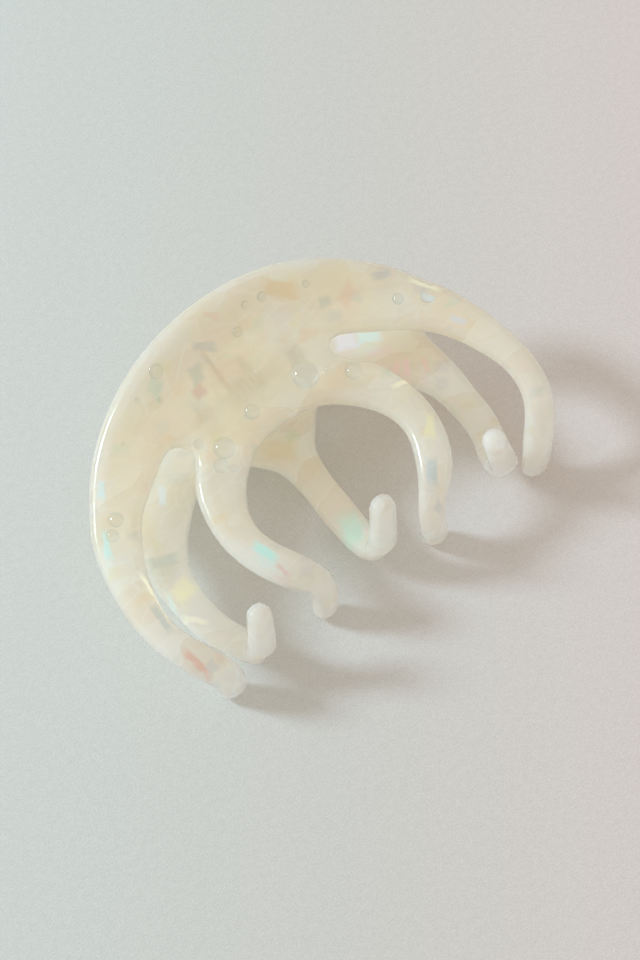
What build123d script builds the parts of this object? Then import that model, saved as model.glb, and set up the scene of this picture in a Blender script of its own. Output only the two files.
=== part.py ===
from build123d import *
import math
import os
import numpy as np

# Hair clip with two curved jaws that lie on their side, closed.
# X runs along the row of teeth, Y from the tooth tips back to the grips, Z up from the surface.

# Sheet that the jaws are bent from
SHEET = 4.4
RIM = SHEET / 2

# Bend of the upper jaw, from its tooth tips to its grip
UPPER_DEPTH = 53.3
UPPER_RISE = 31.2

# Bend of the lower jaw, from its hook tips to its grip
LOWER_DEPTH = 57.1
LOWER_RISE = 17.4

# Widths across the row of teeth, from the middle to the middle of the rim
UPPER_HALF_WIDTH = 45.6
LOWER_HALF_WIDTH = 45.6
GAP_END_SKEW = -1.5

# Hinge
HINGE_BACK = 42.5
PIN_DIAMETER = 2.4
PIN_HEAD_DIAMETER = 3.8
PIN_HEAD_THICKNESS = 0.9
PIN_HEAD_ROUNDING = 0.36
BORE_CLEARANCE = 0.05
LUG_RADIUS = 3.7
LUG_THICKNESS = 3.0
LUG_FLARE = 6.0
LUG_GAP = 0.3
SPRING_SPACE = 12.0

# Spring
WIRE_DIAMETER = 1.1
SPRING_TURNS = 5
LEG_SIDE_ROOM = 1.8
COIL_CLEARANCE = 0.4
LEG_REACH = 10.0
LEG_CLEARANCE = 0.3

# Drops of dew on the upper jaw
LARGEST_DROP = 5.6
DROP_FLATNESS = 0.62
DROP_GAP = 0.2

# Fineness of the faceted jaws
RIM_STEP = 2.3
RIM_FACES = 4
TIP_FACES = 4
WIDEST_STRIP = 6.0
SHORTEST_STEP = RIM / 50
BEND_STEP = RIM / 8
CURVE_POINTS = 12

# Columns: back as a share of the depth, up as a share of the rise
UPPER_BEND = (
    (0.000, 0.000),
    (-0.023, 0.119),
    (-0.002, 0.240),
    (0.036, 0.353),
    (0.088, 0.439),
    (0.159, 0.478),
    (0.310, 0.506),
    (0.460, 0.526),
    (0.606, 0.564),
    (0.749, 0.647),
    (0.876, 0.779),
    (1.000, 1.000),
)
LOWER_BEND = (
    (0.049, 1.000),
    (0.032, 0.790),
    (0.017, 0.590),
    (0.012, 0.430),
    (0.036, 0.292),
    (0.080, 0.244),
    (0.145, 0.238),
    (0.210, 0.268),
    (0.298, 0.326),
    (0.378, 0.379),
    (0.517, 0.466),
    (0.657, 0.483),
    (0.788, 0.402),
    (0.921, 0.213),
    (1.000, 0.000),
)

# Columns: along as a share of the bend, then shares of the half width for the outer edge,
# the inside of the outer tooth, the outside of the middle tooth and its inside
UPPER_TEETH = (
    (0.008, 0.842, 0.820, 0.305, 0.283),
    (0.058, 0.844, 0.807, 0.300, 0.274),
    (0.115, 0.868, 0.822, 0.294, 0.268),
    (0.173, 0.914, 0.860, 0.322, 0.285),
    (0.230, 0.956, 0.910, 0.397, 0.325),
    (0.288, 0.987, 0.945, 0.452, 0.375),
    (0.345, 1.000, 0.956, 0.485, 0.414),
    (0.403, 1.000, 0.947, 0.500, 0.428),
    (0.460, 0.991, 0.921, 0.498, 0.412),
    (0.518, 0.976, 0.886, 0.480, 0.364),
    (0.576, 0.952, 0.833, 0.445, 0.281),
)

# Columns: along as a share of the bend, across as a share of the half width
UPPER_GAP_END = ((0.633, 0.759), (0.691, 0.632), (0.734, 0.526), (0.754, 0.439), (0.738, 0.368),
                 (0.691, 0.333), (0.633, 0.368))
UPPER_ARCH = ((0.613, 0.197), (0.635, 0.000), (0.613, -0.197))
UPPER_CRESCENT = ((0.633, 0.917), (0.691, 0.860), (0.748, 0.798), (0.806, 0.719), (0.863, 0.616),
                  (0.921, 0.478), (0.964, 0.327), (1.000, 0.000))

# Columns: along as a share of the bend, then shares of the half width for the outer edge,
# the inside of the outer tooth and half of the middle tooth
LOWER_TEETH = (
    (0.008, 0.635, 0.619, 0.013),
    (0.055, 0.652, 0.629, 0.014),
    (0.110, 0.672, 0.639, 0.017),
    (0.166, 0.692, 0.650, 0.023),
    (0.221, 0.716, 0.666, 0.028),
    (0.276, 0.757, 0.702, 0.027),
    (0.331, 0.781, 0.721, 0.031),
    (0.386, 0.785, 0.724, 0.030),
    (0.441, 0.789, 0.715, 0.029),
    (0.497, 0.789, 0.687, 0.036),
    (0.552, 0.779, 0.627, 0.059),
    (0.607, 0.772, 0.537, 0.125),
)
LOWER_GAP_END = ((0.662, 0.417), (0.683, 0.311), (0.662, 0.211))
LOWER_CRESCENT = ((0.690, 0.772), (0.745, 0.761), (0.800, 0.737), (0.855, 0.649), (0.910, 0.522),
                  (0.966, 0.329), (1.000, 0.000))

# Columns: the tooth's place across, between two shares of the half width; where its sway starts
# and where it is full, as shares of the bend; its sway across and back there and then at the tip,
# as shares of the half width
UPPER_SWAY = (
    (-0.60, -0.10, 0.290, 0.050, -0.015, 0.044, -0.003, 0.034),
    (0.10, 0.60, 0.290, 0.050, -0.015, 0.016, -0.015, 0.016),
)
LOWER_SWAY = (
    (-1.00, -0.50, 0.450, 0.221, 0.010, -0.025, 0.002, -0.018),
    (-0.30, 0.30, 0.450, 0.221, 0.004, 0.030, 0.074, 0.048),
    (0.50, 1.00, 0.450, 0.221, 0.012, 0.004, 0.009, 0.000),
)

# Columns: along as a share of the bend, across as a share of the half width,
# diameter as a share of the largest drop
DROPS = (
    (0.679, 0.186, 1.00),
    (0.656, 0.279, 0.21),
    (0.607, 0.366, 0.64),
    (0.637, -0.289, 0.79),
    (0.600, -0.346, 0.54),
    (0.573, -0.311, 0.29),
    (0.689, -0.366, 0.36),
    (0.679, -0.099, 0.57),
    (0.646, -0.838, 0.54),
    (0.613, -0.890, 0.46),
    (0.937, -0.351, 0.54),
    (0.898, -0.482, 0.18),
    (0.859, -0.399, 0.21),
    (0.814, -0.629, 0.14),
    (0.898, 0.039, 0.39),
    (0.947, 0.208, 0.36),
    (0.955, 0.125, 0.29),
    (0.902, 0.408, 0.29),
    (0.708, 0.724, 0.43),
    (0.665, 0.840, 0.54),
)


def resampled(points, step):
    """Points spaced evenly by about one step along a line of close points."""
    ends = np.asarray(points)
    run = np.concatenate(([0.0], np.cumsum(np.hypot(*np.diff(ends, axis=0).T))))
    places = np.linspace(0.0, run[-1], max(2, math.ceil(run[-1] / step)) + 1)
    return np.column_stack([np.interp(places, run, ends[:, axis]) for axis in (0, 1)])


def smooth_line(points, step):
    """Evenly spaced points along the smooth curve through a few given points."""
    curve = Spline(*[(float(u), float(v)) for u, v in points])
    close = [curve.position_at(share) for share in np.linspace(0.0, 1.0, CURVE_POINTS * len(points))]
    return resampled([(p.X, p.Y) for p in close], step)


class Bend:
    """The curved line, seen from the side, that a jaw's sheet is bent to."""

    def __init__(self, table, depth, rise, lowest):
        places = [(back * depth, lowest + up * rise) for back, up in table]
        self.line = smooth_line(places, BEND_STEP)
        steps = np.diff(self.line, axis=0)
        self.run = np.concatenate(([0.0], np.cumsum(np.hypot(*steps.T))))
        self.length = float(self.run[-1])
        self.slopes = np.unwrap(np.arctan2(steps[:, 1], steps[:, 0]))
        self.slope_run = (self.run[:-1] + self.run[1:]) / 2

    def at(self, along, out=0.0):
        """Back and up of a place along the bend, and out from the middle of the sheet."""
        inside = min(max(along, 0.0), self.length)
        slope = float(np.interp(along, self.slope_run, self.slopes))
        back = float(np.interp(inside, self.run, self.line[:, 0])) + (along - inside) * math.cos(slope)
        up = float(np.interp(inside, self.run, self.line[:, 1])) + (along - inside) * math.sin(slope)
        return back - out * math.sin(slope), up + out * math.cos(slope)

    def slope_at(self, along):
        return float(np.interp(along, self.slope_run, self.slopes))

    def move_back(self, distance):
        self.line[:, 0] += distance

    def nearest(self, back, up):
        """How far along the bend lies nearest to a place."""
        return float(self.run[np.argmin(np.hypot(self.line[:, 0] - back, self.line[:, 1] - up))])

    def height_at(self, back):
        """Height of the middle of the sheet at a place behind the teeth."""
        behind = len(self.run) // 3
        return float(np.interp(back, self.line[behind:, 0], self.line[behind:, 1]))


def tooth_end(first, second):
    """Round end of a tooth, from its first edge to its second, across the row and along."""
    middle = (np.asarray(first) + np.asarray(second)) / 2
    arm = np.asarray(first) - middle
    radius = float(np.hypot(*arm))
    start = math.atan2(arm[1], arm[0])
    turns = [start - math.pi * k / TIP_FACES for k in range(1, TIP_FACES)]
    return [(middle[0] + radius * math.cos(a), middle[1] + radius * math.sin(a)) for a in turns]


def upper_rim(length):
    """Closed line of the upper jaw's rim on the flat sheet: across and along."""
    wide = UPPER_HALF_WIDTH
    teeth = rim_columns(UPPER_TEETH, wide, length)
    root = UPPER_TEETH[-1][0]
    furthest = max(along for along, across in UPPER_GAP_END)
    halves = []
    for side in (1, -1):
        skew = [side * GAP_END_SKEW * (along - root) / (furthest - root) for along, across in UPPER_GAP_END]
        gap_end = [(x + more, s) for (x, s), more in zip(rim_spots(UPPER_GAP_END, wide, length), skew)]
        outer = rim_spots(UPPER_CRESCENT[::-1], wide, length) + teeth[0][::-1]
        gap = teeth[1] + gap_end + teeth[2][::-1]
        halves.append(half_rim(outer, gap) + tooth_end(gap[-1], teeth[3][0]))
    inside = teeth[3] + rim_spots(UPPER_ARCH, wide, length)
    inside += [(-x, s) for x, s in teeth[3][::-1]]
    return closed_rim(halves, smooth_line(inside, RIM_STEP))


def lower_rim(length):
    """Closed line of the lower jaw's rim on the flat sheet: across and along."""
    wide = LOWER_HALF_WIDTH
    teeth = rim_columns(LOWER_TEETH, wide, length)
    outer = rim_spots(LOWER_CRESCENT[::-1], wide, length) + teeth[0][::-1]
    gap = teeth[1] + rim_spots(LOWER_GAP_END, wide, length) + teeth[2][::-1]
    half = half_rim(outer, gap)
    return closed_rim([half, half], tooth_end(gap[-1], (-gap[-1][0], gap[-1][1])))


def rim_columns(teeth, wide, length):
    """The edges of a table of teeth, each a list of places across and along."""
    return [[(row[k] * wide, row[0] * length) for row in teeth] for k in range(1, len(teeth[0]))]


def rim_spots(table, wide, length):
    """The places across and along of a table of shares."""
    return [(across * wide, along * length) for along, across in table]


def half_rim(outer, gap):
    """Half of a rim: its outer edge, the end of the outer tooth and the gap beside it."""
    half = [tuple(spot) for spot in smooth_line(outer, RIM_STEP)]
    half += tooth_end(outer[-1], gap[0])
    half += [tuple(spot) for spot in smooth_line(gap, RIM_STEP)]
    return half


def closed_rim(halves, middle):
    """One closed line from the right half, the middle stretch and the left half, turned round."""
    right, left = [np.asarray(half) for half in halves]
    whole = np.concatenate([right, np.asarray(middle), left[::-1] * (-1.0, 1.0)])
    steps = np.hypot(*np.diff(np.vstack([whole, whole[:1]]), axis=0).T)
    return whole[steps > SHORTEST_STEP]


def sway_at(table, across, along):
    """How far a tooth leans across and back from the plain bent sheet, as shares."""
    for least, most, root, full, full_across, full_back, tip_across, tip_back in table:
        if least < across < most:
            grown = min(max((root - along) / (root - full), 0.0), 1.0)
            grown *= grown * (3.0 - 2.0 * grown)
            ending = min(max(1.0 - along / full, 0.0), 1.0)
            sway_across = full_across * grown + (tip_across - full_across) * ending
            sway_back = full_back * grown + (tip_back - full_back) * ending
            return sway_across, sway_back
    return 0.0, 0.0


def split_long(places, triangles, longest):
    """Cuts the edges that run too far along the bend, until none does."""
    places = [tuple(place) for place in places]
    while True:
        middles = {}
        for corners in triangles:
            for a, b in zip(corners, corners[1:] + corners[:1]):
                edge = (min(a, b), max(a, b))
                if edge not in middles and abs(places[a][1] - places[b][1]) > longest:
                    middles[edge] = len(places)
                    places.append(tuple((p + q) / 2 for p, q in zip(places[a], places[b])))
        if not middles:
            return places, triangles
        finer = []
        for corners in triangles:
            finer.extend(split_triangle(corners, middles))
        triangles = finer


def split_triangle(corners, middles):
    """The smaller triangles of one triangle, some of whose edges have a middle point."""
    ring = []
    for a, b in zip(corners, corners[1:] + corners[:1]):
        ring.append(a)
        middle = middles.get((min(a, b), max(a, b)))
        if middle is not None:
            ring.append(middle)
    if len(ring) == 3:
        return [corners]
    start = next(k for k, corner in enumerate(ring) if corner not in corners)
    ring = ring[start:] + ring[:start]
    return [(ring[0], ring[k], ring[k + 1]) for k in range(1, len(ring) - 1)]


def flat_triangles(rim):
    """Triangles that fill the rim's line on the flat sheet, none too long along the bend."""
    face = Face(Wire.make_polygon([(float(x), float(s), 0.0) for x, s in rim], close=True))
    corners, triangles = face.tessellate(SHORTEST_STEP)
    lookup = {(round(float(x), 4), round(float(s), 4)): k for k, (x, s) in enumerate(rim)}
    number = [lookup[(round(p.X, 4), round(p.Y, 4))] for p in corners]
    named = []
    for a, b, c in triangles:
        a, b, c = number[a], number[b], number[c]
        turn = (rim[b] - rim[a])[0] * (rim[c] - rim[a])[1] - (rim[b] - rim[a])[1] * (rim[c] - rim[a])[0]
        named.append((a, b, c) if turn > 0 else (a, c, b))
    return split_long(rim, named, WIDEST_STRIP)


def outward(rim):
    """Directions out of the sheet, square to the rim's line, which runs clockwise."""
    along = np.roll(rim, -1, axis=0) - np.roll(rim, 1, axis=0)
    along /= np.hypot(*along.T)[:, None]
    return np.column_stack([-along[:, 1], along[:, 0]])


def bent_sheet(rim, bend, sway, wide):
    """Solid of a sheet with a half round rim, bent to its line, with its teeth swayed."""
    out = outward(rim)
    count = len(rim)
    flat, triangles = flat_triangles(rim)
    spare = len(flat) - count
    corners = []
    turns = [math.pi * (k / RIM_FACES - 0.5) for k in range(RIM_FACES + 1)]
    for turn in turns:
        ring = rim + out * RIM * math.cos(turn)
        corners.extend((x, s, RIM * math.sin(turn)) for x, s in ring)
    below = len(corners)
    corners.extend((x, s, -RIM) for x, s in flat[count:])
    above = len(corners)
    corners.extend((x, s, RIM) for x, s in flat[count:])
    facets = []
    for level in range(RIM_FACES):
        low = level * count
        for k in range(count):
            a, b = low + k, low + (k + 1) % count
            facets.append((a, b + count, b))
            facets.append((a, a + count, b + count))
    top = RIM_FACES * count
    for a, b, c in triangles:
        facets.append(tuple(top + k if k < count else above + k - count for k in (a, b, c)))
        facets.append(tuple(k if k < count else below + k - count for k in (a, c, b)))
    points = []
    for x, s, t in corners:
        back, up = bend.at(float(s), float(t))
        sway_across, sway_back = sway_at(sway, x / wide, s / bend.length)
        points.append((float(x + sway_across * wide), float(back + sway_back * wide), up))
    faces = [Face(Wire.make_polygon([points[k] for k in facet], close=True)) for facet in facets]
    return Solid(Shell(faces))


def hinge_lug(bend, hinge, start, width, bore):
    """Upright lug from the middle of a jaw's sheet to the hinge, round at its end and bored."""
    centre = np.array(hinge)
    nearest = bend.nearest(*hinge)
    base = [np.array(bend.at(nearest + LUG_FLARE * share)) for share in (-1.0, -0.5, 0.0, 0.5, 1.0)]
    touch = []
    for foot, side in ((base[0], 1.0), (base[-1], -1.0)):
        arm = foot - centre
        turn = math.acos(LUG_RADIUS / float(np.hypot(*arm)))
        upward = 1.0 if base[2][1] > centre[1] else -1.0
        angle = math.atan2(arm[1], arm[0]) + side * upward * turn
        touch.append(centre + LUG_RADIUS * np.array([math.cos(angle), math.sin(angle)]))
    away = centre - base[2]
    far = centre + LUG_RADIUS * away / float(np.hypot(*away))

    def spot(place):
        return Vector(start, float(place[0]), float(place[1]))

    edges = [Edge.make_line(spot(base[0]), spot(touch[0]))]
    edges.append(Edge.make_three_point_arc(spot(touch[0]), spot(far), spot(touch[1])))
    edges.append(Edge.make_line(spot(touch[1]), spot(base[-1])))
    edges.extend(Edge.make_line(spot(a), spot(b)) for a, b in zip(base[::-1], base[-2::-1]))
    body = Solid.extrude(Face(Wire(edges)), Vector(width, 0, 0))
    hole = Solid.make_cylinder(bore / 2, 3 * width, Plane(origin=(start - width, *hinge), z_dir=(1, 0, 0)))
    return body - hole


def hinge_pin(hinge, reach):
    """Pin through the lugs, with a flat head at each end."""
    length = 2 * (reach + LUG_GAP)
    start = Plane(origin=(-length / 2, *hinge), z_dir=(1, 0, 0))
    pin = Solid.make_cylinder(PIN_DIAMETER / 2, length, start)
    for end, side in ((-length / 2, -1), (length / 2, 1)):
        seat = Plane(origin=(end, *hinge), z_dir=(side, 0, 0))
        head = Solid.make_cylinder(PIN_HEAD_DIAMETER / 2, PIN_HEAD_THICKNESS, seat)
        rim = head.edges().filter_by(GeomType.CIRCLE).sort_by(Axis.X)[-1 if side > 0 else 0]
        pin += head.fillet(min(PIN_HEAD_ROUNDING, PIN_HEAD_THICKNESS / 2), [rim])
    return pin


def spring(hinge, upper, lower):
    """Coil round the pin, whose legs lie against the insides of the two grips."""
    wire = WIRE_DIAMETER / 2
    coil = PIN_DIAMETER / 2 + COIL_CLEARANCE + wire
    inset = RIM + LEG_CLEARANCE + wire
    ends = []
    for bend, side in ((upper, -1.0), (lower, 1.0)):
        along = bend.nearest(*hinge) + LEG_REACH
        ends.append(np.array(bend.at(along, side * inset)) - hinge)
    angles = [math.atan2(end[1], end[0]) for end in ends]
    swings = [math.acos(coil / float(np.hypot(*end))) for end in ends]
    first = angles[0] + swings[0]
    last = angles[1] - swings[1]
    turn = 2 * math.pi
    sweep_angle = SPRING_TURNS * turn + (last - first) % turn
    pitch = (SPRING_SPACE - 2 * LEG_SIDE_ROOM - WIRE_DIAMETER) / (sweep_angle / turn)
    height = pitch * sweep_angle / turn
    seat = Plane(origin=(-height / 2, *hinge), x_dir=(0, math.cos(first), math.sin(first)), z_dir=(1, 0, 0))
    turns = seat.location * Edge.make_helix(pitch, height, coil)
    path = [turns]
    for place, end, swing, side in ((0.0, ends[0], swings[0], -1.0), (1.0, ends[1], swings[1], 1.0)):
        root = turns.position_at(place)
        way = turns.tangent_at(place) * side
        leg = float(np.hypot(*end)) * math.sin(swing)
        path.append(Edge.make_line(root, root + way * leg))
    path = Wire(path)
    section = Plane(origin=path.position_at(0.0), z_dir=path.tangent_at(0.0)) * Circle(wire)
    return sweep(section, path=path, is_frenet=True).solid()


def dew_drops(bend):
    """Low clear domes that stand on the outside of the upper jaw."""
    drops = []
    for along, across, size in DROPS:
        radius = LARGEST_DROP * size / 2
        height = radius * DROP_FLATNESS
        ball = (radius**2 + height**2) / (2 * height)
        run = along * bend.length
        slopes = [bend.slope_at(run + radius * side) for side in (-1.0, 1.0)]
        sag = abs(slopes[1] - slopes[0]) * radius / 4
        lift = DROP_GAP + sag
        back, up = bend.at(run, RIM + lift - (ball - height))
        slope = bend.slope_at(run)
        origin = (across * UPPER_HALF_WIDTH, back, up)
        seat = Plane(origin=origin, x_dir=(1, 0, 0), z_dir=(0, -math.sin(slope), math.cos(slope)))
        lowest = math.degrees(math.asin((ball - height) / ball))
        drops.append(Solid.make_sphere(ball, seat, lowest, 90, 360))
    return Compound(children=drops)


os.makedirs("parts", exist_ok=True)

upper = Bend(UPPER_BEND, UPPER_DEPTH, UPPER_RISE, RIM)
lower = Bend(LOWER_BEND, LOWER_DEPTH, LOWER_RISE, RIM)
middle = (upper.line[:, 0].min() + lower.line[:, 0].max()) / 2
upper.move_back(-middle)
lower.move_back(-middle)

hinge_back = HINGE_BACK - middle
hinge = (hinge_back, (upper.height_at(hinge_back) + lower.height_at(hinge_back)) / 2)
bore = PIN_DIAMETER + 2 * BORE_CLEARANCE
lower_lug = SPRING_SPACE / 2
upper_lug = lower_lug + LUG_THICKNESS + LUG_GAP

four_tooth_jaw = bent_sheet(upper_rim(upper.length), upper, UPPER_SWAY, UPPER_HALF_WIDTH)
three_tooth_jaw = bent_sheet(lower_rim(lower.length), lower, LOWER_SWAY, LOWER_HALF_WIDTH)
for side in (-1, 1):
    upper_start = min(side * upper_lug, side * (upper_lug + LUG_THICKNESS))
    lower_start = min(side * lower_lug, side * (lower_lug + LUG_THICKNESS))
    four_tooth_jaw += hinge_lug(upper, hinge, upper_start, LUG_THICKNESS, bore)
    three_tooth_jaw += hinge_lug(lower, hinge, lower_start, LUG_THICKNESS, bore)

export_step(four_tooth_jaw, "parts/four_tooth_jaw.step")
export_step(three_tooth_jaw, "parts/three_tooth_jaw.step")
export_step(hinge_pin(hinge, upper_lug + LUG_THICKNESS), "parts/hinge_pin.step")
export_step(spring(hinge, upper, lower), "parts/spring.step")
export_step(dew_drops(upper), "parts/dew_drops.step")
print("hinge", [round(float(place), 3) for place in hinge])
print("shift", round(float(middle), 3))
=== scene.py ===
import math
from collections import namedtuple

import bmesh
import bpy
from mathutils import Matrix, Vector


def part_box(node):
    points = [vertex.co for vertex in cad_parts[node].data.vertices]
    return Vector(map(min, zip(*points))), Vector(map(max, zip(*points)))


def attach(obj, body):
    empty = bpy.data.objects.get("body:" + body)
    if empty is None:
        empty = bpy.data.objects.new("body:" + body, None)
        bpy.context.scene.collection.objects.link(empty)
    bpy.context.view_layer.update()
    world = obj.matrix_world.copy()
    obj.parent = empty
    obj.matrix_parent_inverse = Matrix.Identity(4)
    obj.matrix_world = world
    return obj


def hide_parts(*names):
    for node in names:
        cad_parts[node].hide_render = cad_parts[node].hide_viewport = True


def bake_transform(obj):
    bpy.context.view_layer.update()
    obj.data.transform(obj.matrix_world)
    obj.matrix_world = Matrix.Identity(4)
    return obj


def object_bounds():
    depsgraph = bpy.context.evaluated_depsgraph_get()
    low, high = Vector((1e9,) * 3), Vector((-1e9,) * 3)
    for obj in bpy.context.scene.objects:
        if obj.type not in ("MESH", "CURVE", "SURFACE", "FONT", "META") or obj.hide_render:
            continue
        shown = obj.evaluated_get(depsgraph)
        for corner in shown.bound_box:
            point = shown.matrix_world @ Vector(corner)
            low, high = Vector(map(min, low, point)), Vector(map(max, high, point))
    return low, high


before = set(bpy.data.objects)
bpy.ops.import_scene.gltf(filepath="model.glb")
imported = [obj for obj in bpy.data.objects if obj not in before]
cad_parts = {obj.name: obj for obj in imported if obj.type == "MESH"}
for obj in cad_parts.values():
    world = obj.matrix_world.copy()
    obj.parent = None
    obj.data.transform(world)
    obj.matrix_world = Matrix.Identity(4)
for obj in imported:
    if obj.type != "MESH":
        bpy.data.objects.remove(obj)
cad_box = [list(corner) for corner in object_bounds()]

MM = 0.001
UP = Vector((0, 0, 1))

# Camera, fitted to the photograph
FOCAL_PIXELS = 2400.0
FRAME_HEIGHT_PIXELS = 960.0
SENSOR = 36.0
CAMERA_TURN = math.radians(38.66)
CAMERA_ELEVATION = math.radians(62.5)
CAMERA_DISTANCE = 475.8 * MM
CAMERA_TARGET = Vector((3.92 * MM, -3.434 * MM, 0.0))
NEAR_CLIP = 10 * MM

# Level directions as the camera sees them
RIGHT = Vector((math.cos(CAMERA_TURN), -math.sin(CAMERA_TURN), 0.0))
AWAY = Vector((math.sin(CAMERA_TURN), math.cos(CAMERA_TURN), 0.0))

# Soft bluish key light at the left of the photograph, and warm light from all around
KEY_ELEVATION = math.radians(33)
KEY_TOWARDS = RIGHT * -0.98 + AWAY * 0.10
KEY_AIM = Vector((0, 0, 15 * MM))
KEY_DISTANCE = 1.2
KEY_SIZE = 0.27
KEY_POWER = 8.4
KEY_COLOUR = (0.68, 0.88, 1.0)
WORLD_COLOUR = (1.0, 0.93, 0.82)
WORLD_STRENGTH = 0.56

# The floor runs from cool at the photograph's left to warm at its right
FLOOR_HALF_SIZE = 3.0
FLOOR_LEFT = -70 * MM
FLOOR_RIGHT = 80 * MM
FLOOR_COLOURS = [(0.0, (0.79, 0.83, 0.82)), (0.5, (0.81, 0.805, 0.79)), (1.0, (0.91, 0.82, 0.81))]
GRAIN_SHARE = 0.8
GRAIN_DEPTH = 0.2 * MM

# Polish of the jaws: cells of the new mesh, and rounds of smoothing
CELL = 0.4 * MM
SMOOTHING_ROUNDS = 38
SMOOTHING_STEP = 0.8

# Lugs lie this near the hinge, and are smoothed this share as much as the sheets
HINGE_REACH = 5.5 * MM
LUG_MARGIN = 2 * MM
LUG_SMOOTHING = 0.12

# Edges of a drop that fold more than this stay sharp
DOME_RIM_ANGLE = math.radians(35)
WELD = 0.001 * MM

# Sheet colours: a cloudy cream with peach areas, milkier towards the teeth's tips
CLOUD_COLOURS = [(0.30, (0.95, 0.87, 0.70)), (0.48, (0.96, 0.91, 0.78)), (0.70, (0.96, 0.95, 0.89))]
PEACH = (0.99, 0.83, 0.68)
MILK = (0.97, 0.97, 0.93)
MILK_START = -6 * MM
MILK_FULL = -24 * MM
FACET_SHADES = [(0.2, (0.91, 0.87, 0.84)), (0.8, (1.0, 1.0, 1.0))]
# Colour of pale streak lines in the sheet, drawn as painted glints
FOLD_GLINT_COLOUR = (1.0, 0.98, 0.90)
CHIP_COLOURS = [
    (0.00, (0.92, 0.52, 0.40)), (0.14, (0.88, 0.76, 0.42)), (0.28, (0.56, 0.68, 0.68)),
    (0.42, (0.48, 0.80, 0.64)), (0.56, (0.95, 0.74, 0.62)), (0.70, (0.52, 0.60, 0.70)),
    (0.84, (0.95, 0.66, 0.40)), (1.00, (0.60, 0.92, 0.90))]
PATTERN_WARP = 3 * MM

# Painted glow: warm emission of the milky sheet, standing in for light that it lets through
GLOW = (1.0, 0.87, 0.68)
GLOW_SHADE = 0.9

# A flake's edge wanders this far, and fades from the first share of its half size to the second
FLAKE_WANDER = 1.2 * MM
FLAKE_CORE = 0.62
FLAKE_END = 1.30

# A flake's place across and back, its length and width, all in mm, its turn in degrees, its colour,
# how strongly it shows and how bright its painted glow is, an emission standing in for light inside the sheet
Flake = namedtuple("Flake", "across back length width turn colour strength glow")
# The glow column is painted glow; the pale yellow-white and aqua flakes with the strongest glow are painted
# glints
UPPER_FLAKES = [Flake(*row) for row in (
    (-2.8, 12.6, 24.0, 13.0, 10, (1.00, 0.86, 0.66), 0.50, 1.40),
    (22.0, 18.5, 18.0, 6.0, -20, (1.00, 0.84, 0.62), 0.45, 1.20),
    (-24.2, -14.8, 16.0, 6.0, -60, (0.98, 0.97, 0.92), 0.50, 1.30),
    (13.5, 20.8, 6.2, 2.4, -30, (0.90, 0.60, 0.32), 0.55, 0.8),
    (33.1, 13.7, 4.0, 1.4, -15, (0.50, 0.58, 0.66), 0.50, 0.8),
    (24.8, 14.3, 4.2, 2.6, 20, (0.94, 0.56, 0.46), 0.42, 0.8),
    (20.2, 15.3, 2.4, 1.6, -20, (0.48, 0.60, 0.56), 0.50, 0.8),
    (38.3, 5.7, 2.2, 1.2, -60, (0.72, 0.90, 0.98), 0.70, 2.5),
    (40.2, -1.4, 3.0, 1.3, -60, (0.64, 0.80, 0.98), 0.60, 1.5),
    (-9.4, 17.2, 3.0, 2.8, 0, (0.46, 0.60, 0.56), 0.55, 0.8),
    (-5.3, 20.0, 4.2, 1.3, -30, (0.46, 0.58, 0.62), 0.50, 0.8),
    (-10.7, 14.7, 2.6, 1.9, 10, (0.92, 0.44, 0.38), 0.50, 0.8),
    (-17.7, 19.2, 3.2, 2.4, 30, (0.52, 0.80, 0.66), 0.50, 0.8),
    (-3.8, 15.2, 7.0, 3.0, -10, (0.97, 0.70, 0.54), 0.40, 0.8),
    (-1.4, 23.1, 3.2, 0.9, -30, (0.94, 0.58, 0.54), 0.45, 0.8),
    (-37.1, 10.7, 3.4, 1.3, 50, (0.60, 0.90, 0.97), 0.80, 2.0),
    (-42.4, 1.9, 5.5, 1.4, 62, (0.56, 0.94, 0.90), 0.80, 2.0),
    (-19.9, -16.8, 5.2, 1.9, -73, (0.46, 0.96, 0.90), 0.90, 2.6),
    (-19.5, -21.4, 3.2, 1.1, -70, (0.96, 0.48, 0.50), 0.60, 1.0),
    (21.3, -15.4, 5.0, 1.9, 50, (0.99, 0.92, 0.56), 0.65, 2.2),
    (15.9, -22.6, 4.4, 2.0, 55, (0.46, 0.64, 0.76), 0.60, 0.8),
    (13.5, -27.8, 1.9, 1.5, 30, (0.48, 0.60, 0.74), 0.50, 0.8),
    (-41.2, -11.0, 9.0, 0.9, 84, (1.00, 0.97, 0.72), 0.90, 4.0),
    (-43.0, -15.6, 6.0, 1.4, 85, (0.44, 0.60, 0.66), 0.55, 0.6),
    (-42.6, -25.6, 5.6, 1.2, -70, (0.95, 0.40, 0.36), 0.70, 0.8),
    (-40.6, -27.4, 2.0, 1.6, 10, (0.52, 0.60, 0.68), 0.50, 0.8),
    (39.4, 8.0, 6.0, 1.0, -50, (1.00, 0.97, 0.70), 0.80, 3.0),
    (23.5, -5.2, 5.0, 1.0, -10, (1.00, 0.96, 0.66), 0.80, 3.5),
    (40.0, -26.3, 3.0, 2.4, 50, (0.95, 0.80, 0.76), 0.45, 0.8),
)]
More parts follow.
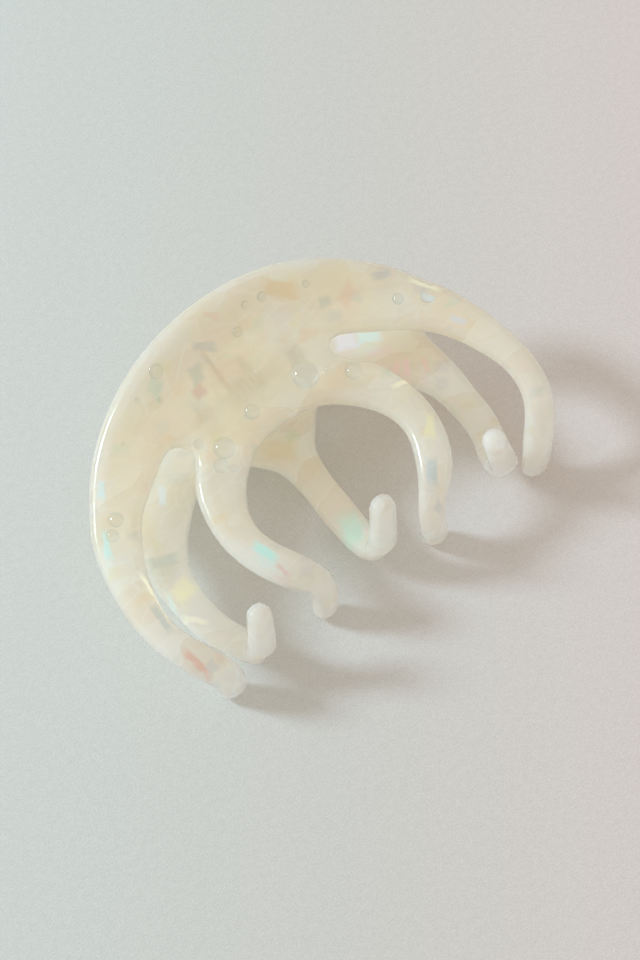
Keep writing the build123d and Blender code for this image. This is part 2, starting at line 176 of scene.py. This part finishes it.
# Here too the glow column is painted glow, and the pale flakes with the strongest glow are painted glints
LOWER_FLAKES = [Flake(*row) for row in (
    (-30.0, -8.0, 26.0, 9.0, 70, (0.98, 0.97, 0.90), 0.55, 1.30),
    (-25.9, 7.7, 4.0, 1.5, 60, (0.78, 0.92, 1.00), 0.75, 2.0),
    (-34.2, -3.2, 6.0, 2.3, -20, (0.50, 0.66, 0.66), 0.60, 0.7),
    (-34.0, -9.6, 4.6, 3.6, 15, (1.00, 0.93, 0.60), 0.70, 2.6),
    (-37.4, -10.4, 3.6, 1.0, 70, (0.70, 0.98, 0.90), 0.70, 2.4),
    (-36.0, -15.6, 5.0, 0.9, -50, (1.00, 0.96, 0.74), 0.80, 3.2),
    (-0.8, -19.2, 6.0, 4.0, 70, (0.54, 0.96, 0.76), 0.70, 1.4),
    (-2.1, 1.4, 6.0, 4.0, -40, (0.95, 0.70, 0.42), 0.45, 0.8),
    (1.5, 2.2, 3.0, 2.0, 0, (0.68, 0.84, 0.50), 0.45, 0.8),
    (23.4, 12.6, 4.4, 4.0, -28, (0.80, 0.82, 1.00), 0.90, 2.6),
    (27.4, 10.4, 4.6, 3.0, -28, (0.64, 0.93, 0.96), 0.90, 2.9),
    (29.0, 0.5, 3.4, 1.3, 50, (0.99, 0.60, 0.68), 0.66, 2.3),
    (32.2, -1.3, 3.0, 1.3, 70, (0.99, 0.64, 0.60), 0.60, 1.6),
    (26.7, 1.3, 4.2, 1.5, 30, (0.99, 0.62, 0.60), 0.66, 2.2),
    (26.8, 6.2, 5.0, 2.0, -20, (0.97, 0.68, 0.72), 0.55, 1.8),
    (28.7, -25.7, 4.0, 3.0, -38, (0.90, 0.98, 0.98), 0.75, 1.8),
)]


def add_camera():
    look = AWAY * math.cos(CAMERA_ELEVATION) - UP * math.sin(CAMERA_ELEVATION)
    data = bpy.data.cameras.new("camera")
    data.sensor_fit = "VERTICAL"
    data.sensor_height = SENSOR
    data.lens = FOCAL_PIXELS / FRAME_HEIGHT_PIXELS * SENSOR
    data.clip_start = NEAR_CLIP
    camera = bpy.data.objects.new("camera", data)
    camera.location = CAMERA_TARGET - look * CAMERA_DISTANCE
    camera.rotation_euler = look.to_track_quat("-Z", "Y").to_euler()
    bpy.context.scene.collection.objects.link(camera)
    bpy.context.scene.camera = camera


class Nodes:
    """Short ways to add and join the nodes of one material."""

    def __init__(self, name):
        self.material = bpy.data.materials.new(name)
        self.material.use_nodes = True
        self.tree = self.material.node_tree
        self.shader = self.tree.nodes["Principled BSDF"]

    def add(self, kind, **settings):
        node = self.tree.nodes.new(kind)
        for key, value in settings.items():
            setattr(node, key, value)
        return node

    def link(self, source, target):
        self.tree.links.new(source, target)

    def join(self, value, socket):
        """Give a socket another node's output, a number or a colour."""
        if isinstance(value, (int, float)):
            socket.default_value = value
        elif isinstance(value, tuple):
            socket.default_value = (*value, 1.0)
        else:
            self.link(value, socket)

    def set_shader(self, **settings):
        for name, value in settings.items():
            self.shader.inputs[name.replace("_", " ")].default_value = value

    def coordinates(self):
        return self.add("ShaderNodeTexCoord").outputs["Object"]

    def part(self, vector, axis):
        node = self.add("ShaderNodeSeparateXYZ")
        self.link(vector, node.inputs["Vector"])
        return node.outputs[axis]

    def mapping(self, vector, scale=(1, 1, 1), location=(0, 0, 0), rotation=(0, 0, 0), kind="POINT"):
        node = self.add("ShaderNodeMapping", vector_type=kind)
        node.inputs["Scale"].default_value = scale
        node.inputs["Location"].default_value = location
        node.inputs["Rotation"].default_value = rotation
        self.link(vector, node.inputs["Vector"])
        return node.outputs["Vector"]

    def noise(self, vector, scale, detail=2.0, roughness=0.5, distortion=0.0):
        node = self.add("ShaderNodeTexNoise")
        node.inputs["Scale"].default_value = scale
        node.inputs["Detail"].default_value = detail
        node.inputs["Roughness"].default_value = roughness
        node.inputs["Distortion"].default_value = distortion
        self.link(vector, node.inputs["Vector"])
        return node

    def cells(self, vector, scale, **settings):
        node = self.add("ShaderNodeTexVoronoi", **settings)
        node.inputs["Scale"].default_value = scale
        self.link(vector, node.inputs["Vector"])
        return node

    def ramp(self, value, stops, interpolation="LINEAR"):
        node = self.add("ShaderNodeValToRGB")
        node.color_ramp.interpolation = interpolation
        elements = node.color_ramp.elements
        while len(elements) < len(stops):
            elements.new(0.5)
        for element, (place, colour) in zip(elements, stops):
            element.position = place
            element.color = (*colour, 1.0)
        self.link(value, node.inputs["Fac"])
        return node.outputs["Color"]

    def span(self, value, low, high, to_low=0.0, to_high=1.0):
        node = self.add("ShaderNodeMapRange")
        node.inputs["From Min"].default_value = low
        node.inputs["From Max"].default_value = high
        node.inputs["To Min"].default_value = to_low
        node.inputs["To Max"].default_value = to_high
        self.link(value, node.inputs["Value"])
        return node.outputs["Result"]

    def math(self, operation, first, second):
        node = self.add("ShaderNodeMath", operation=operation)
        self.join(first, node.inputs[0])
        self.join(second, node.inputs[1])
        return node.outputs["Value"]

    def mix(self, factor, first, second, blend="MIX"):
        node = self.add("ShaderNodeMix", data_type="RGBA", blend_type=blend)
        self.join(factor, node.inputs["Factor"])
        self.join(first, node.inputs[6])
        self.join(second, node.inputs[7])
        return node.outputs[2]

    def wander(self, vector, noise, reach):
        """A place moved by up to a reach along each axis, with the noise's colour."""
        node = self.add("ShaderNodeVectorMath", operation="MULTIPLY_ADD")
        self.link(noise.outputs["Color"], node.inputs[0])
        node.inputs[1].default_value = reach
        self.link(vector, node.inputs[2])
        return node.outputs["Vector"]

    def flake(self, ragged, flake):
        """Mask of one oblong flake with soft, slightly ragged edges, seen from above."""
        middle = FLAKE_WANDER / 2
        box = self.mapping(ragged, kind="TEXTURE",
                           location=(flake.across * MM + middle, flake.back * MM + middle, 0.0),
                           rotation=(0.0, 0.0, math.radians(flake.turn)),
                           scale=(flake.length * MM / 2, flake.width * MM / 2, 1.0))
        size = self.add("ShaderNodeVectorMath", operation="ABSOLUTE")
        self.link(box, size.inputs[0])
        split = self.add("ShaderNodeSeparateXYZ")
        self.link(size.outputs["Vector"], split.inputs["Vector"])
        far = self.math("MAXIMUM", split.outputs["X"], split.outputs["Y"])
        return self.span(far, FLAKE_CORE, FLAKE_END, flake.strength, 0.0)


def tinted(colour, share):
    return tuple(share * channel for channel in colour)


def cloudy_base(m, coordinates, place, cloud, seed):
    """Cream clouds, peach areas and milky tips, cut by faint facets."""
    base = m.ramp(cloud, CLOUD_COLOURS)
    warm = m.noise(m.mapping(coordinates, location=(seed, 0.4, 0.2)), 38.0, detail=2.0).outputs["Fac"]
    base = m.mix(m.span(warm, 0.50, 0.68, 0.0, 0.75), base, PEACH)
    milky = m.span(m.part(coordinates, "Y"), MILK_START, MILK_FULL, 0.0, 0.8)
    base = m.mix(milky, base, MILK)
    facet_place = m.mapping(place, scale=(1.0, 2.2, 1.0), rotation=(0.0, 0.0, 0.9))
    facets = m.cells(facet_place, 75.0, feature="F1", distance="MANHATTAN")
    return m.mix(1.0, base, m.ramp(facets.outputs["Color"], FACET_SHADES), "MULTIPLY")


def fold_glint_lines(m, bent_place, cloud):
    """Thin pale lines between cells, where the clouds are light: streaks in the sheet, drawn as painted
    glints.
    """
    glint_fold_place = m.mapping(bent_place, scale=(1.0, 2.6, 1.0), rotation=(0.0, 0.0, 0.7))
    glint_folds = m.cells(glint_fold_place, 95.0, feature="DISTANCE_TO_EDGE")
    near = m.span(glint_folds.outputs["Distance"], 0.0, 0.05, 1.0, 0.0)
    return m.math("MULTIPLY", m.math("MULTIPLY", near, m.span(cloud, 0.42, 0.60)), 0.55)


def small_chips(m, bent_place):
    """Colour and mask of the small chips that lie scattered in the sheet."""
    chip_place = m.mapping(bent_place, scale=(1.0, 1.5, 1.0), rotation=(0.0, 0.0, 0.6))
    chips = m.cells(chip_place, 230.0, feature="F1", distance="CHEBYCHEV")
    split = m.add("ShaderNodeSeparateColor")
    m.link(chips.outputs["Color"], split.inputs["Color"])
    hue = m.ramp(split.outputs["Red"], CHIP_COLOURS, "CONSTANT")
    edge = m.span(chips.outputs["Distance"], 0.14, 0.50, 1.0, 0.0)
    rare = m.span(split.outputs["Green"], 0.64, 0.78)
    return hue, m.math("MULTIPLY", m.math("MULTIPLY", edge, rare), 0.46)


def pearl_acetate(name, flakes, seed):
    """Milky pearl acetate with soft clouds, flakes of colour under the surface, a clear polish and a painted
    glow.
    """
    m = Nodes(name)
    coordinates = m.coordinates()
    place = m.mapping(coordinates, location=(seed, seed * 0.7, seed * 0.3))
    cloud = m.noise(place, 60.0, detail=3.0, distortion=0.6).outputs["Fac"]
    bent_place = m.wander(place, m.noise(place, 90.0, detail=1.0), (PATTERN_WARP, PATTERN_WARP, PATTERN_WARP))
    colour = cloudy_base(m, coordinates, place, cloud, seed)
    # Streak lines of the sheet, painted as bright glints
    colour = m.mix(fold_glint_lines(m, bent_place, cloud), colour, FOLD_GLINT_COLOUR)
    hue, chips = small_chips(m, bent_place)
    colour = m.mix(chips, colour, hue)
    # Painted glow: emission in place of light passing through the sheet, stronger at each flake
    glow = m.mix(cloud, GLOW, tinted(GLOW, GLOW_SHADE))
    ragged = m.wander(coordinates, m.noise(place, 420.0, detail=1.0), (FLAKE_WANDER, FLAKE_WANDER, 0.0))
    for flake in flakes:
        shown = m.flake(ragged, flake)
        colour = m.mix(shown, colour, flake.colour)
        glow = m.mix(shown, glow, tinted(flake.colour, flake.glow))
    m.link(colour, m.shader.inputs["Base Color"])
    m.link(glow, m.shader.inputs["Emission Color"])
    # Emission Strength scales the painted glow
    m.set_shader(Subsurface_Weight=1.0, Subsurface_Radius=(1.0, 0.90, 0.76), Subsurface_Scale=10 * MM,
                 Roughness=0.30, Alpha=0.62, Emission_Strength=0.11, IOR=1.48,
                 Thin_Film_Thickness=420.0, Thin_Film_IOR=1.40,
                 Coat_Weight=1.0, Coat_Roughness=0.03, Coat_IOR=1.75)
    return m.material


def clear_drop():
    m = Nodes("clear_drop")
    tint = m.noise(m.coordinates(), 40.0).outputs["Fac"]
    m.link(m.ramp(tint, [(0.3, (0.93, 0.95, 0.95)), (0.7, (1.0, 1.0, 1.0))]), m.shader.inputs["Base Color"])
    m.set_shader(Transmission_Weight=1.0, Roughness=0.0, IOR=1.52)
    return m.material


def steel(name, colour, roughness):
    m = Nodes(name)
    streaks = m.noise(m.mapping(m.coordinates(), scale=(1.0, 6.0, 6.0)), 900.0, detail=3.0).outputs["Fac"]
    m.link(m.ramp(streaks, [(0.35, tinted(colour, 0.8)), (0.65, colour)]), m.shader.inputs["Base Color"])
    m.link(m.span(streaks, 0.3, 0.7, roughness * 0.8, roughness * 1.25), m.shader.inputs["Roughness"])
    m.set_shader(Metallic=1.0)
    return m.material


def floor_finish():
    """A matt board with a fine grain, whose tint changes across the photograph."""
    m = Nodes("floor_finish")
    place = m.coordinates()
    axis = m.add("ShaderNodeVectorMath", operation="DOT_PRODUCT")
    m.link(place, axis.inputs[0])
    axis.inputs[1].default_value = RIGHT
    base = m.ramp(m.span(axis.outputs["Value"], FLOOR_LEFT, FLOOR_RIGHT), FLOOR_COLOURS)
    grain = m.noise(place, 2600.0, detail=2.0, roughness=0.7).outputs["Fac"]
    soft = m.noise(place, 700.0, detail=2.0).outputs["Fac"]
    shade = m.math("ADD", m.math("MULTIPLY", grain, GRAIN_SHARE), m.math("MULTIPLY", soft, 1 - GRAIN_SHARE))
    level = m.ramp(shade, [(0.3, (0.87, 0.87, 0.87)), (0.7, (1.06, 1.06, 1.06))])
    m.link(m.mix(1.0, base, level, "MULTIPLY"), m.shader.inputs["Base Color"])
    bump = m.add("ShaderNodeBump")
    bump.inputs["Strength"].default_value = 0.25
    bump.inputs["Distance"].default_value = GRAIN_DEPTH
    m.link(grain, bump.inputs["Height"])
    m.link(bump.outputs["Normal"], m.shader.inputs["Normal"])
    m.set_shader(Roughness=0.75, Specular_IOR_Level=0.3)
    return m.material


def copy_of(node_name, piece_name):
    """A copy of a CAD node that may be reshaped."""
    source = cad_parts[node_name]
    piece = bpy.data.objects.new(piece_name, source.data.copy())
    piece.matrix_world = source.matrix_world.copy()
    bpy.context.scene.collection.objects.link(piece)
    return piece


def shade_smooth(piece):
    for polygon in piece.data.polygons:
        polygon.use_smooth = True


def give_material(piece, material):
    piece.data.materials.clear()
    piece.data.materials.append(material)


def baked_mesh(piece):
    """The mesh of a piece with its modifiers applied."""
    depsgraph = bpy.context.evaluated_depsgraph_get()
    mesh = bpy.data.meshes.new_from_object(piece.evaluated_get(depsgraph))
    mesh.name = piece.name
    piece.modifiers.clear()
    return mesh


def polished_jaw(node_name, piece_name):
    """A polished copy of a faceted jaw, with its rims rounded off but its lugs left crisp."""
    piece = copy_of(node_name, piece_name)
    remesh = piece.modifiers.new("remesh", "REMESH")
    remesh.mode = "VOXEL"
    remesh.voxel_size = CELL
    piece.data = baked_mesh(piece)
    low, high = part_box("hinge_pin")
    hinge = Vector(((low[0] + high[0]) / 2, (low[1] + high[1]) / 2, (low[2] + high[2]) / 2))
    supple = piece.vertex_groups.new(name="supple")
    for vert in piece.data.vertices:
        place = piece.matrix_world @ vert.co
        far = math.hypot(place.y - hinge.y, place.z - hinge.z)
        near_hinge = abs(place.x) < high[0] + LUG_MARGIN and far < HINGE_REACH
        supple.add([vert.index], LUG_SMOOTHING if near_hinge else 1.0, "REPLACE")
    smooth = piece.modifiers.new("smooth", "LAPLACIANSMOOTH")
    smooth.iterations = SMOOTHING_ROUNDS
    smooth.lambda_factor = SMOOTHING_STEP
    smooth.lambda_border = 0.0
    smooth.use_volume_preserve = True
    smooth.vertex_group = "supple"
    piece.data = baked_mesh(piece)
    shade_smooth(piece)
    return piece


def clear_domes():
    """The drops, smooth but for their flat undersides, and without a shadow of their own."""
    piece = copy_of("dew_drops", "clear_domes")
    shade_smooth(piece)
    shape = bmesh.new()
    shape.from_mesh(piece.data)
    bmesh.ops.remove_doubles(shape, verts=shape.verts, dist=WELD)
    for edge in shape.edges:
        edge.smooth = edge.calc_face_angle(0.0) < DOME_RIM_ANGLE
    shape.to_mesh(piece.data)
    shape.free()
    piece.visible_shadow = False
    return piece


def turning_spring():
    """A smooth-shaded copy of the spring, with its place baked into its mesh."""
    piece = copy_of("spring", "torsion_spring")
    shade_smooth(piece)
    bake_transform(piece)
    return piece


def add_jaw(node, piece_name, body, slot, flakes, seed):
    piece = polished_jaw(node, piece_name)
    give_material(piece, pearl_acetate("pearl_" + slot, flakes, seed))
    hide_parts(node)
    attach(piece, body)


def add_drops():
    domes = clear_domes()
    give_material(domes, clear_drop())
    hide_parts("dew_drops")
    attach(domes, "upper_jaw")


def add_spring():
    coil = turning_spring()
    give_material(coil, steel("spring_steel", (0.60, 0.60, 0.62), roughness=0.25))
    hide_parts("spring")


def add_floor():
    half = FLOOR_HALF_SIZE
    corners = [(-half, -half, 0), (half, -half, 0), (half, half, 0), (-half, half, 0)]
    mesh = bpy.data.meshes.new("floor")
    mesh.from_pydata(corners, [], [(0, 1, 2, 3)])
    floor = bpy.data.objects.new("floor", mesh)
    floor.location = (0, 0, cad_box[0][2])
    bpy.context.scene.collection.objects.link(floor)
    mesh.materials.append(floor_finish())


def add_key():
    offset = KEY_TOWARDS.normalized() * math.cos(KEY_ELEVATION) + UP * math.sin(KEY_ELEVATION)
    data = bpy.data.lights.new("key", "AREA")
    data.shape = "DISK"
    data.size = KEY_SIZE
    data.energy = KEY_POWER
    data.color = KEY_COLOUR
    light = bpy.data.objects.new("key", data)
    light.location = KEY_AIM + offset * KEY_DISTANCE
    light.rotation_euler = (-offset).to_track_quat("-Z", "Y").to_euler()
    bpy.context.scene.collection.objects.link(light)


def add_world():
    world = bpy.data.worlds.new("studio")
    bpy.context.scene.world = world
    world.use_nodes = True
    world.node_tree.nodes["Background"].inputs["Color"].default_value = (*WORLD_COLOUR, 1.0)
    world.node_tree.nodes["Background"].inputs["Strength"].default_value = WORLD_STRENGTH


bpy.context.scene.view_settings.view_transform = "Standard"
add_camera()
add_jaw("four_tooth_jaw", "upper_jaw_sheet", "upper_jaw", "upper_sheet", UPPER_FLAKES, seed=0.0)
add_jaw("three_tooth_jaw", "lower_jaw_sheet", "lower_jaw", "lower_sheet", LOWER_FLAKES, seed=3.0)
add_drops()
add_spring()
give_material(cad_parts["hinge_pin"], steel("pin_steel", (0.72, 0.72, 0.73), roughness=0.18))
add_floor()
add_world()
add_key()
